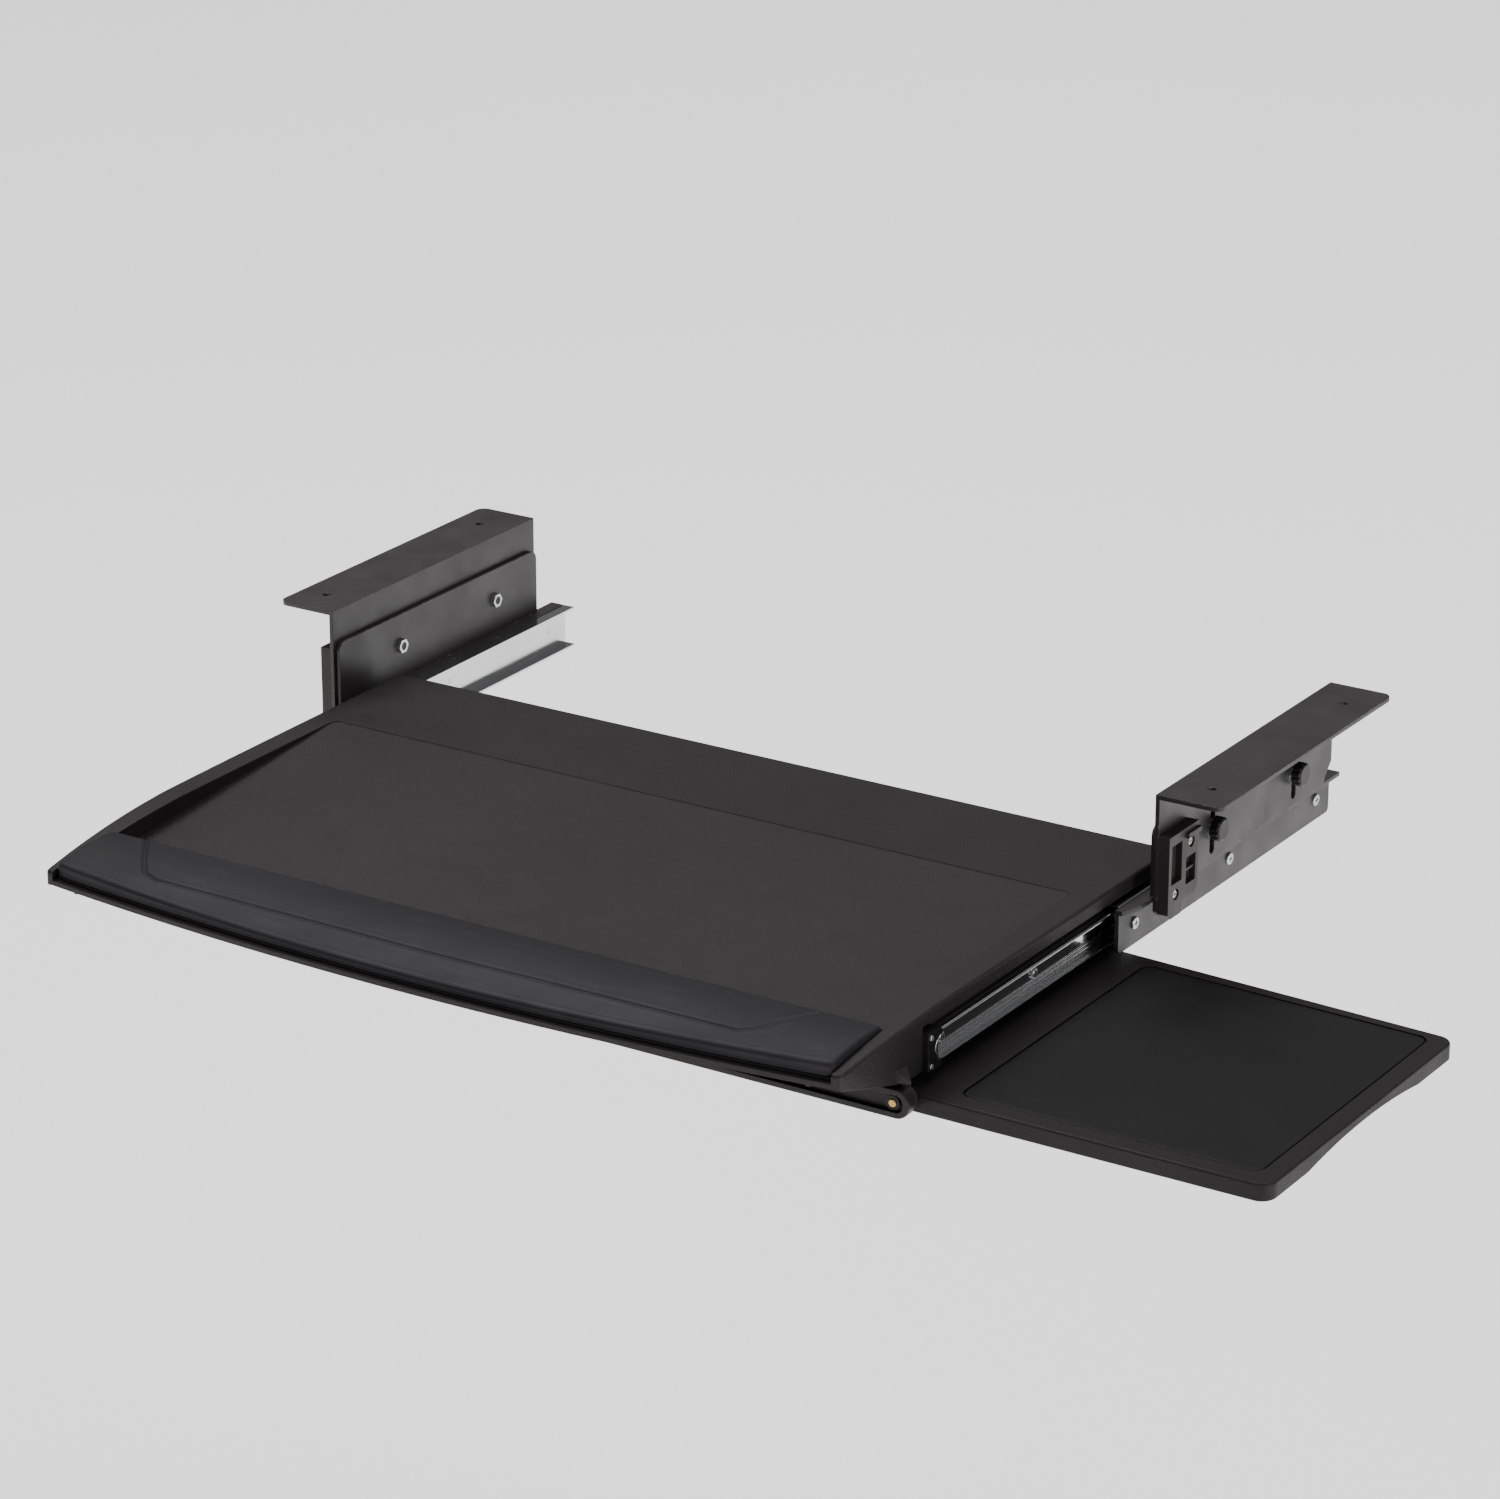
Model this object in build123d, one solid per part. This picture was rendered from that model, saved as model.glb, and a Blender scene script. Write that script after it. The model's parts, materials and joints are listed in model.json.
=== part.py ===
from build123d import *
from collections import namedtuple
import os

# Under-desk keyboard drawer with a side mouse platform.  Millimetres.
# X is to the user's right, Y towards the back of the desk, Z up.
# The origin is the centre of the four desk-screw holes, on the underside of the desk.
# The drawer is drawn fully open and the mouse platform fully out to the right.

# ---- keyboard tray -------------------------------------------------------
RIM_Z = -51.0              # top of the side rims and the rear deck
FLOOR_Z = -65.0            # floor of the keyboard recess at the wrist rest
FLOOR_BACK_Z = -51.4       # and where it meets the rear deck
FLOOR_T = 3.5
RIB_H = 3.0
LIP_TOP = -65.7            # top of the thin front lip, the seat of the wrist rest
LIP_BOTTOM = -68.5
WALL_BOTTOM = -85.0        # lower edge of the side walls
TRAY_BACK = -56.0
TRAY_SIDES = [(260.4, -400.8), (264.4, -330.0), (266.4, -150.0), (266.8, TRAY_BACK)]
BOW_FRONT = -418.0         # foremost point of the bowed front edge
RECESS_HALF = 251.0
SEAT_HALF = 255.0          # half width of the wrist rest's seat
REST_BACK = -350.0         # the wrist rest ends here and the keyboard recess begins
RECESS_BACK = -143.0
RIM_FALL_START = -290.0    # the rims curve down from here to the front tips
RIM_TIP_Z = -61.0
SLIDE_FACE = 260.6         # side wall face that carries the inner slide member
LIP_UNDER = -59.5          # underside of the rim lip above the slide
SLIDE_POCKET_FRONT = -326.0
HOLLOW_HALF = 256.8
SHELL_T = 3.0

# ---- wrist rest ----------------------------------------------------------
REST_HALF = 254.4
REST_TOP_BACK = -52.4
REST_CROWN = -52.0
REST_FOLD = -59.2
REST_SETBACK = 3.2         # behind the edge of the lip
REST_PLATE_T = 1.6

# ---- ball slides ---------------------------------------------------------
SLIDE_L = 250.0
SLIDE_Z = -74.5
SLIDE_T = 1.2
INNER_FRONT = -312.0
INNER_DEPTH = 6.4
INNER_HALF = 9.3
OUTER_FRONT = -124.0
OUTER_X = (262.2, 270.5)
OUTER_HALF = 13.0
BALL_R = 1.2
BALL_X = 265.0
BALL_PITCH = 12.0
CAGE_FRONT = -118.0
CAGE_L = 75.0
CAGE_T = 0.8
CAGE_WEB_X = 267.6
INNER_SCREW_Y = (-304.0, -205.0, -110.0)
OUTER_RIVET_Y = (-112.0, 0.0, 108.0)
STOP_FRONT = -326.0

# ---- brackets and hangers ------------------------------------------------
SHEET_T = 2.5
HANGER_TOP = -20.0
HANGER_X = 277.0           # inner face of the upper leaf
JOG_Z = -61.5              # top of the inward jog, below the rim lip
LOWER_LEAF_X = 270.5
HANGER_BOTTOM = -87.5
UPPER_LEAF_Y = (-104.0, 108.0)
LOWER_LEAF_Y = (-130.0, 126.0)
WEB_X = 280.0              # inner face of the bracket's web
WEB_BOTTOM = -69.0
FLANGE_W = 40.0
DESK_HOLE_X = 302.0
DESK_HOLE_Y = 80.0
DESK_HOLE_R = 2.6
LOCK_Y = (-40.0, 60.0)
LOCK_Z = -40.0
LOCK_R = 2.5
LOCK_TRAVEL = 12.7         # up or down from the middle setting

# ---- guide rails and mouse platform --------------------------------------
PLATFORM_TOP = -92.0
PLATFORM_H = 10.0
PLATFORM_X = (211.0, 474.5)
PLATFORM_FRONT = -339.7
PLATFORM_BACK = (-110.8, -124.0)   # left end and right end: the back edge is not square
STOW_TRAVEL = PLATFORM_X[1] - 270.0    # inward travel, until the outer edge is under the tray's side
PLATE_T = 4.0
SKIRT_T = 3.0
PAD_X = (288.0, 462.0)
PAD_Y = (-326.5, -124.5, -131.0)   # front, back at the left, back at the right
PAD_RECESS = 2.0
PAD_T = 1.8
PAD_GAP = 1.0
RAIL_TOP = -85.6
RAIL_H = 16.6
RAIL_DEPTH = 11.7
RAIL_R = RAIL_H / 2
RAIL_MID = RAIL_TOP - RAIL_R
RAIL_TAB_T = 6.0
CATCH_T = 6.0              # thickness of the flange above the platform's edge
FOOT_TOP = -102.4
FOOT_T = 2.2
GROOVE_HALF = 4.9
GROOVE_DEPTH = 3.0
PIN_INSET = 2.4            # the pins sit this far inside the centre of the round end
PIN_DROP = 0.4
PIN_R = 2.5
RAIL_LEFT = -110.0         # the rails reach only as far as the stowed platform needs
RAIL_SCREW_X = (-80.0, 60.0, 200.0)
EAR_T = 5.0

# face: Y of the side that looks at the platform; way: -1 with the bar in front of it, +1 behind;
# end_x: centre of the round end; body_x: right end of the thick middle;
# catch and foot: how far the flanges above and below reach over the platform.
Rail = namedtuple("Rail", "face way end_x body_x catch foot")
FRONT_RAIL = Rail(-340.3, -1, 263.7, 250.0, 6.0, 12.5)
REAR_RAIL = Rail(-110.0, 1, 252.0, 238.0, 18.0, 26.0)
RAILS = (FRONT_RAIL, REAR_RAIL)

FIT_GAP = 0.05             # radial clearance of pins and balls

parts = {}


def block(x0, x1, y0, y1, z0, z1):
    """Box between two opposite corners."""
    centre = Pos((x0 + x1) / 2, (y0 + y1) / 2, (z0 + z1) / 2)
    return centre * Box(abs(x1 - x0), abs(y1 - y0), abs(z1 - z0))


def rod_x(x0, x1, y, z, r):
    return Pos((x0 + x1) / 2, y, z) * Rot(0, 90, 0) * Cylinder(r, abs(x1 - x0))


def rod_y(x, y0, y1, z, r):
    return Pos(x, (y0 + y1) / 2, z) * Rot(90, 0, 0) * Cylinder(r, abs(y1 - y0))


def rod_z(x, y, z0, z1, r):
    return Pos(x, y, (z0 + z1) / 2) * Cylinder(r, abs(z1 - z0))


def prism_x(points, x0, x1):
    """Solid with an outline in Y and Z, between two X values."""
    return extrude(Plane.YZ.offset(x0) * make_face(Polyline(*points, close=True)), amount=x1 - x0)


def prism_y(points, y0, y1):
    """Solid with an outline in X and Z, between two Y values."""
    return extrude(Plane.XZ.offset(-y1) * make_face(Polyline(*points, close=True)), amount=y1 - y0)


def prism_z(points, z0, z1):
    """Solid with an outline in X and Y, between two Z values."""
    return extrude(Plane.XY.offset(z0) * make_face(Polyline(*points, close=True)), amount=z1 - z0)


def other_side(shape):
    return mirror(shape, about=Plane.YZ)


def both(shape):
    """The piece and its mirror image as one group."""
    return Part() + [shape, other_side(shape)]


# ---- tray ----------------------------------------------------------------
def tray_plan(setback, half, z0, z1):
    """Plan outline of the tray: bowed front, sides that draw in towards the front."""
    tip, shoulder, hip, back = TRAY_SIDES
    w = [min(p[0], half) for p in (tip, shoulder, hip, back)]
    front_y = tip[1] + setback
    mid_y = BOW_FRONT + setback
    if half < tip[0]:
        front_y += (mid_y - front_y) * (1 - (half / tip[0]) ** 2)
    bow = ThreePointArc((-w[0], front_y), (0, mid_y), (w[0], front_y))
    if half < tip[0]:
        rest = Polyline((w[0], front_y), (half, TRAY_BACK), (-half, TRAY_BACK), (-w[0], front_y))
        return extrude(Plane.XY.offset(z0) * make_face(Curve() + [bow, rest]), amount=z1 - z0)
    right = Spline((w[0], front_y), (w[1], shoulder[1]), (w[2], hip[1]), (w[3], back[1]))
    left = Spline((-w[0], front_y), (-w[1], shoulder[1]), (-w[2], hip[1]), (-w[3], back[1]))
    rear = Line((w[3], back[1]), (-w[3], back[1]))
    return extrude(Plane.XY.offset(z0) * make_face(Curve() + [bow, right, rear, left]), amount=z1 - z0)


def rim_curve_solid(x0, x1):
    """Side view of the tray: flat rims that fall in an arc to the front tips."""
    y_end = BOW_FRONT - 4
    fall = ThreePointArc((RIM_FALL_START, RIM_Z), (-346.0, -54.0), (y_end, RIM_TIP_Z - 2.6))
    edge = Polyline((y_end, RIM_TIP_Z - 2.6), (y_end, LIP_BOTTOM), (-402.0, LIP_BOTTOM),
                    (-345.0, WALL_BOTTOM), (TRAY_BACK + 2, WALL_BOTTOM), (TRAY_BACK + 2, RIM_Z),
                    (RIM_FALL_START, RIM_Z))
    return extrude(Plane.YZ.offset(x0) * make_face(Curve() + [fall, edge]), amount=x1 - x0)


def floor_z(y):
    """Height of the sloping recess floor."""
    return FLOOR_Z + (FLOOR_BACK_Z - FLOOR_Z) * (y - REST_BACK) / (RECESS_BACK - REST_BACK)


def keyboard_tray():
    wide = 300.0
    tray = tray_plan(0.0, wide, WALL_BOTTOM, RIM_Z) & rim_curve_solid(-wide, wide)
    corners = tray.edges().filter_by(Axis.Z).filter_by(lambda e: e.center().Y < -395 or e.center().Y > -60)
    tray = fillet(corners, 3.5)
    top_edges = tray.edges().filter_by(lambda e: e.center().Z > RIM_TIP_Z - 0.5 and abs(e.center().X) > 255)
    tray = fillet(top_edges.filter_by(lambda e: not e.is_closed and e.length > 40), 2.2)

    # Keyboard recess and the seat of the wrist rest.
    recess = prism_x([(REST_BACK - 1, floor_z(REST_BACK - 1)), (RECESS_BACK, FLOOR_BACK_Z),
                      (RECESS_BACK, 0), (REST_BACK - 1, 0)], -RECESS_HALF, RECESS_HALF)
    recess = fillet(recess.edges().filter_by(Axis.Z).filter_by(lambda e: e.center().Y > -200), 5)
    tray -= recess
    tray -= block(-SEAT_HALF, SEAT_HALF, BOW_FRONT - 5, REST_BACK, LIP_TOP, 0)

    # Hollow underside, cross walls for the rails and shallow stiffening ribs.
    back = TRAY_BACK - SHELL_T
    hollow = [(BOW_FRONT - 5, LIP_BOTTOM), (REST_BACK, LIP_BOTTOM), (RECESS_BACK, FLOOR_BACK_Z - FLOOR_T),
              (RECESS_BACK + SHELL_T, RIM_Z - SHELL_T), (back, RIM_Z - SHELL_T), (back, -95), (BOW_FRONT - 5, -95)]
    tray -= prism_x(hollow, -HOLLOW_HALF, HOLLOW_HALF)
    for r, top in zip(RAILS, (LIP_BOTTOM, RIM_Z - SHELL_T)):
        wall = sorted((r.face + r.way * 1.2, r.face + r.way * (1.2 + EAR_T)))
        tray += block(-HOLLOW_HALF, HOLLOW_HALF, *wall, RAIL_TOP, top)
    top_front, top_back = LIP_BOTTOM + 0.5, FLOOR_BACK_Z - FLOOR_T + 0.5
    rib = [(-400, top_front - RIB_H), (REST_BACK, top_front - RIB_H), (RECESS_BACK, top_back - RIB_H),
           (RECESS_BACK, top_back), (REST_BACK, top_front), (-400, top_front)]
    for x in range(-240, 241, 60):
        tray += prism_x(rib, x - 1, x + 1)
    for y in (-300, -260, -220, -180):
        under = floor_z(y) - FLOOR_T
        tray += block(-HOLLOW_HALF, HOLLOW_HALF, y - 1, y + 1, under - RIB_H + 0.5, under + 0.5)

    # Bosses for the rail screws.
    for x in RAIL_SCREW_X:
        for r, top in zip(RAILS, (LIP_BOTTOM, RIM_Z - SHELL_T)):
            tray += rod_z(x, rail_screw_y(r), RAIL_TOP, top, 4.6)
            tray -= rod_z(x, rail_screw_y(r), RAIL_TOP - 1, RAIL_TOP + 8, 1.6)

    # Side pockets for the slides, ears for the rail pins and their small gussets.
    for side in (1, -1):
        tray -= block(side * SLIDE_FACE, side * 290, SLIDE_POCKET_FRONT, TRAY_BACK + 5,
                      WALL_BOTTOM - 1, LIP_UNDER)
        for y in INNER_SCREW_Y:
            tray -= rod_x(side * SLIDE_FACE - 4, side * SLIDE_FACE + 4, y, SLIDE_Z + 1, 1.5)
    for r in RAILS:
        tray += rail_ear(r)
    return tray + gusset()


def rail_screw_y(r):
    return r.face + r.way * 4.2


def rail_ear(r):
    """Plate that hangs from the tray behind the rail's round end."""
    radius = RAIL_R - 1.0
    y = sorted((r.face + r.way * 0.4, r.face + r.way * (0.4 + EAR_T)))
    ear = rod_y(r.end_x, *y, RAIL_MID, radius)
    ear += block(r.end_x - radius, r.end_x + 0.8, *y, RAIL_MID - radius, RAIL_TOP + 1)
    return ear - rod_y(r.end_x - PIN_INSET, y[0] - 1, y[1] + 1, RAIL_MID - PIN_DROP, PIN_R + FIT_GAP)


def gusset():
    """Small three-cornered bracket above the front ear."""
    outline = [(259, -72.5), (271, -80.6), (271, -82.4), (259, -82.4)]
    plan = [(259, -351.5), (271.5, -348.5), (259, -336.5)]
    return prism_y(outline, -352, -336) & prism_z(plan, -84, -70)


# ---- wrist rest ----------------------------------------------------------
def rest_plan(z0, z1, setback, half, back):
    tip = TRAY_SIDES[0]
    sag = (tip[1] - BOW_FRONT) * (half / tip[0]) ** 2
    y_mid = BOW_FRONT + setback
    bow = ThreePointArc((-half, y_mid + sag), (0, y_mid), (half, y_mid + sag))
    edge = Polyline((half, y_mid + sag), (half, back), (-half, back), (-half, y_mid + sag))
    return extrude(Plane.XY.offset(z0) * make_face(Curve() + [bow, edge]), amount=z1 - z0)


def rest_plate():
    return rest_plan(LIP_TOP, LIP_TOP + REST_PLATE_T, REST_SETBACK + 0.6, REST_HALF - 1, REST_BACK - 0.6)


def wrist_rest():
    base = LIP_TOP + REST_PLATE_T
    y_front = BOW_FRONT + REST_SETBACK
    top = Spline((REST_BACK, REST_TOP_BACK), (-366.0, REST_CROWN), (-392.0, -54.6), (y_front, REST_FOLD))
    edge = Polyline((y_front, REST_FOLD), (y_front - 6, REST_FOLD - 1), (y_front - 6, base),
                    (REST_BACK, base), (REST_BACK, REST_TOP_BACK))
    profile = extrude(Plane.YZ.offset(-REST_HALF) * make_face(Curve() + [top, edge]),
                      amount=2 * REST_HALF)
    return profile & rest_plan(base, RIM_Z, REST_SETBACK, REST_HALF, REST_BACK)


# ---- ball slides (right-hand pieces) -------------------------------------
def channel(x_open, x_web, half, y0, length, t):
    """C-section lying on its side: web at x_web, flanges that end at x_open."""
    way = 1 if x_web > x_open else -1
    outer = block(x_open, x_web, y0, y0 + length, SLIDE_Z - half, SLIDE_Z + half)
    corner = outer.edges().filter_by(Axis.Y).sort_by(lambda e: -way * e.center().X)[:2]
    outer = fillet(corner, t)
    return outer - block(x_open - way, x_web - way * t, y0 - 1, y0 + length + 1,
                         SLIDE_Z - half + t, SLIDE_Z + half - t)


def slide_inner():
    tip = SLIDE_FACE + INNER_DEPTH
    member = channel(tip, SLIDE_FACE, INNER_HALF, INNER_FRONT, SLIDE_L, SLIDE_T)
    web = SLIDE_FACE + SLIDE_T
    for z, w in ((-3.0, 0.6), (-5.4, 0.9)):
        member += block(web - 0.2, web + 0.8, INNER_FRONT + 4, INNER_FRONT + SLIDE_L - 4,
                        SLIDE_Z + z - w, SLIDE_Z + z + w)
    for y in INNER_SCREW_Y:
        member -= rod_x(SLIDE_FACE - 1, web + 2, y, SLIDE_Z + 1, 1.5)
    return member


def slide_outer():
    member = channel(OUTER_X[0], OUTER_X[1], OUTER_HALF, OUTER_FRONT, SLIDE_L, SLIDE_T)
    for y in OUTER_RIVET_Y:
        member -= rod_x(OUTER_X[1] - 3, OUTER_X[1] + 1, y, SLIDE_Z, 2.0)
    return member


def ball_places():
    z = (INNER_HALF + OUTER_HALF - SLIDE_T) / 2
    count = int((CAGE_L - 10) / BALL_PITCH) + 1
    first = CAGE_FRONT + (CAGE_L - (count - 1) * BALL_PITCH) / 2
    return [(BALL_X, first + i * BALL_PITCH, SLIDE_Z + s * z) for s in (1, -1) for i in range(count)]


def ball_retainer():
    """Strip that keeps the balls apart, with a hole around each one."""
    z = (INNER_HALF + OUTER_HALF - SLIDE_T) / 2 + CAGE_T / 2
    strip = channel(BALL_X - 1.9, CAGE_WEB_X + CAGE_T, z, CAGE_FRONT, CAGE_L, CAGE_T)
    for x, y, z in ball_places():
        strip -= rod_z(x, y, z - 2, z + 2, BALL_R + FIT_GAP)
    return strip - block(266, 270, CAGE_FRONT + 8, CAGE_FRONT + CAGE_L - 8, SLIDE_Z - 5, SLIDE_Z + 5)


def balls():
    return Part() + [Pos(*place) * Sphere(BALL_R) for place in ball_places()]


def round_head_x(x0, y, z, r, h, way=1):
    """Screw or rivet head: a disc with a domed edge and a cross recess."""
    head = rod_x(x0, x0 + way * h, y, z, r)
    rim = head.edges().filter_by(GeomType.CIRCLE).sort_by(lambda e: -way * e.center().X)[0]
    head = fillet(rim, h * 0.55)
    for a, b in ((r * 0.55, r * 0.13), (r * 0.13, r * 0.55)):
        head -= block(x0 + way * h * 0.45, x0 + way * (h + 1), y - a, y + a, z - b, z + b)
    return head


def inner_screws():
    web = SLIDE_FACE + SLIDE_T
    screws = []
    for y in INNER_SCREW_Y:
        z = SLIDE_Z + 1
        screws.append(rod_x(SLIDE_FACE - 3.8, web, y, z, 1.5) + round_head_x(web, y, z, 3.0, 1.9))
    return both(Part() + screws)


def outer_rivets():
    leaf = LOWER_LEAF_X + SHEET_T
    rivets = []
    for y in OUTER_RIVET_Y:
        shank = rod_x(OUTER_X[1] - SLIDE_T, leaf, y, SLIDE_Z, 2.0)
        rivets.append(shank + round_head_x(leaf, y, SLIDE_Z, 3.6, 1.4))
    return both(Part() + rivets)


def slide_end_stop():
    """Moulded stop at the front of the inner member."""
    x1 = SLIDE_FACE + INNER_DEPTH + 1.2
    stop = block(SLIDE_FACE, x1, STOP_FRONT, INNER_FRONT, SLIDE_Z - 11, SLIDE_Z + 11)
    stop = fillet(stop.edges().filter_by(Axis.X), 1.5)
    stop -= Pos(x1, INNER_FRONT, SLIDE_Z) * Rot(0, 90, 0) * Cylinder(7.2, 5.0)
    for z in (-8.2, 8.2):
        stop -= rod_x(SLIDE_FACE - 1, x1 + 1, STOP_FRONT + 3, SLIDE_Z + z, 1.0)
    return stop


def end_stop_rivets():
    x1 = SLIDE_FACE + INNER_DEPTH + 1.2
    rivets = []
    for z in (-8.2, 8.2):
        y = STOP_FRONT + 3
        rivets.append(rod_x(SLIDE_FACE, x1, y, SLIDE_Z + z, 1.0) + round_head_x(x1, y, SLIDE_Z + z, 1.7, 0.8))
    return both(Part() + rivets)


def end_stop_clip():
    """Bent spring wire that grips the stop."""
    x = SLIDE_FACE + INNER_DEPTH - 0.2
    y = INNER_FRONT + 0.6
    arc = ThreePointArc((x, y - 2.6, SLIDE_Z + 4.9), (x, y - 5.6, SLIDE_Z), (x, y - 2.6, SLIDE_Z - 4.9))
    section = Plane(origin=arc @ 0, z_dir=arc % 0) * Circle(0.75)
    return both(sweep(section, path=arc))


# ---- brackets, hangers and their fasteners (right-hand pieces) -----------
def desk_bracket():
    y0, y1 = UPPER_LEAF_Y
    x1 = WEB_X + SHEET_T
    flange = block(WEB_X, WEB_X + FLANGE_W, y0, y1, -SHEET_T, 0)
    flange = fillet(flange.edges().filter_by(Axis.Z).filter_by(lambda e: e.center().X > 300), 6)
    web_side = [(y0, 0), (y0, WEB_BOTTOM), (y0 + 3, WEB_BOTTOM - 3), (y0 + 16, WEB_BOTTOM - 3),
                (y0 + 20, WEB_BOTTOM + 3), (y0 + 34, WEB_BOTTOM + 3), (y0 + 40, WEB_BOTTOM + 9),
                (y1 - 12, WEB_BOTTOM + 9), (y1, WEB_BOTTOM + 21), (y1, 0)]
    bracket = flange + prism_x(web_side, WEB_X, x1)
    for y in (y0 + 50, 10.0, y1 - 8):
        rib = [(x1, -SHEET_T), (x1 + 15, -SHEET_T), (x1, -SHEET_T - 16)]
        bracket += prism_y(rib, y - 1.5, y + 1.5)
    for y in (-DESK_HOLE_Y, DESK_HOLE_Y):
        bracket -= rod_z(DESK_HOLE_X, y, -SHEET_T - 1, 1, DESK_HOLE_R)
    for y in LOCK_Y:
        bracket -= lock_slot(y)
    for y, z in guide_screw_places():
        bracket -= rod_x(WEB_X - 1, x1 + 1, y, z, 1.5)
    return bracket


def lock_slot(y):
    """Upright slot that the locking screw travels in."""
    w = LOCK_R + 0.3
    travel = LOCK_TRAVEL + 0.4
    slot = block(WEB_X - 1, WEB_X + SHEET_T + 1, y - w, y + w, LOCK_Z - travel, LOCK_Z + travel)
    for z in (LOCK_Z - travel, LOCK_Z + travel):
        slot += rod_x(WEB_X - 1, WEB_X + SHEET_T + 1, y, z, w)
    return slot


def guide_screw_places():
    return [(UPPER_LEAF_Y[0] + 9, -60.0), (UPPER_LEAF_Y[0] + 26, -34.0)]


def guide_block():
    """Moulded stiffener at the front of the bracket, stepped and ribbed."""
    y0 = UPPER_LEAF_Y[0]
    x0 = WEB_X + SHEET_T
    outline = [(y0, -24), (y0, -70), (y0 + 3, -73), (y0 + 15, -73), (y0 + 18, -66), (y0 + 31, -66),
               (y0 + 34, -62), (y0 + 34, -24)]
    guide = prism_x(outline, x0, x0 + 7)
    guide -= block(x0 + 3, x0 + 8, y0 + 3, y0 + 15, -53, -30)
    guide -= block(x0 + 3, x0 + 8, y0 + 20, y0 + 31, -58, -42)
    guide += block(x0 + 2, x0 + 6, y0 + 20, y0 + 31, -50.8, -49.2)
    guide += prism_x([(y0 + 19, -27), (y0 + 34, -27), (y0 + 34, -30), (y0 + 19, -30)], x0 + 6, x0 + 9)
    for y, z in guide_screw_places():
        guide -= rod_x(x0 - 1, x0 + 8, y, z, 1.5)
        guide -= rod_x(x0 + 4.5, x0 + 10, y, z, 3.3)
    return guide


def guide_screws():
    x0 = WEB_X + SHEET_T
    screws = []
    for y, z in guide_screw_places():
        screws.append(rod_x(WEB_X, x0 + 4.5, y, z, 1.5) + round_head_x(x0 + 4.5, y, z, 2.8, 1.8))
    return both(Part() + screws)


def hanger():
    """Z-section: upper leaf beside the bracket, lower leaf behind the slide."""
    low = [(LOWER_LEAF_X, HANGER_BOTTOM), (LOWER_LEAF_X + SHEET_T, HANGER_BOTTOM),
           (LOWER_LEAF_X + SHEET_T, JOG_Z - SHEET_T), (HANGER_X + SHEET_T, JOG_Z - SHEET_T),
           (HANGER_X + SHEET_T, JOG_Z), (LOWER_LEAF_X, JOG_Z)]
    piece = prism_y(low, LOWER_LEAF_Y[0], LOWER_LEAF_Y[1])
    piece -= prism_z([(274.5, -131), (281, -131), (281, -112)], JOG_Z - 4, JOG_Z + 1)
    corners = piece.edges().filter_by(Axis.X).filter_by(lambda e: e.center().Z < HANGER_BOTTOM + 1)
    piece = fillet(corners, 3)
    leaf = block(HANGER_X, HANGER_X + SHEET_T, UPPER_LEAF_Y[0] + 2, UPPER_LEAF_Y[1] - 2, JOG_Z, HANGER_TOP)
    leaf = fillet(leaf.edges().filter_by(Axis.X).filter_by(lambda e: e.center().Z > HANGER_TOP - 1), 6)
    piece += leaf
    for y in LOCK_Y:
        piece -= rod_x(HANGER_X - 1, HANGER_X + SHEET_T + 1, y, LOCK_Z, LOCK_R + FIT_GAP)
    for y in OUTER_RIVET_Y:
        piece -= rod_x(LOWER_LEAF_X - 1, LOWER_LEAF_X + SHEET_T + 1, y, SLIDE_Z, 2.0)
    return piece


def hexagon_nut(x0, x1, y, z, flat, bore):
    nut = Plane.YZ.offset(x0) * Pos(y, z) * RegularPolygon(flat / 2, 6, major_radius=False)
    return extrude(nut, amount=x1 - x0) - rod_x(x0 - 1, x1 + 1, y, z, bore)


def lock_washer(y):
    x0 = WEB_X + SHEET_T + FIT_GAP
    return rod_x(x0, x0 + 1.4, y, LOCK_Z, 6.5) - rod_x(x0 - 1, x0 + 2, y, LOCK_Z, LOCK_R + FIT_GAP)


def lock_screw(y):
    """Wing-less hand screw: ribbed round head on a plain shank."""
    x0 = WEB_X + SHEET_T + FIT_GAP + 1.4
    head = rod_x(x0, x0 + 6, y, LOCK_Z, 7.0)
    head = chamfer(head.edges().filter_by(GeomType.CIRCLE).sort_by(lambda e: -e.center().X)[0], 1.2)
    for angle in range(0, 360, 30):
        notch = Rot(angle, 0, 0) * rod_x(0, 8, 7.3, 0, 0.9)
        head -= Pos(x0 - 1, y, LOCK_Z) * notch
    return head + rod_x(HANGER_X - 2.6, x0, y, LOCK_Z, LOCK_R)


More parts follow.
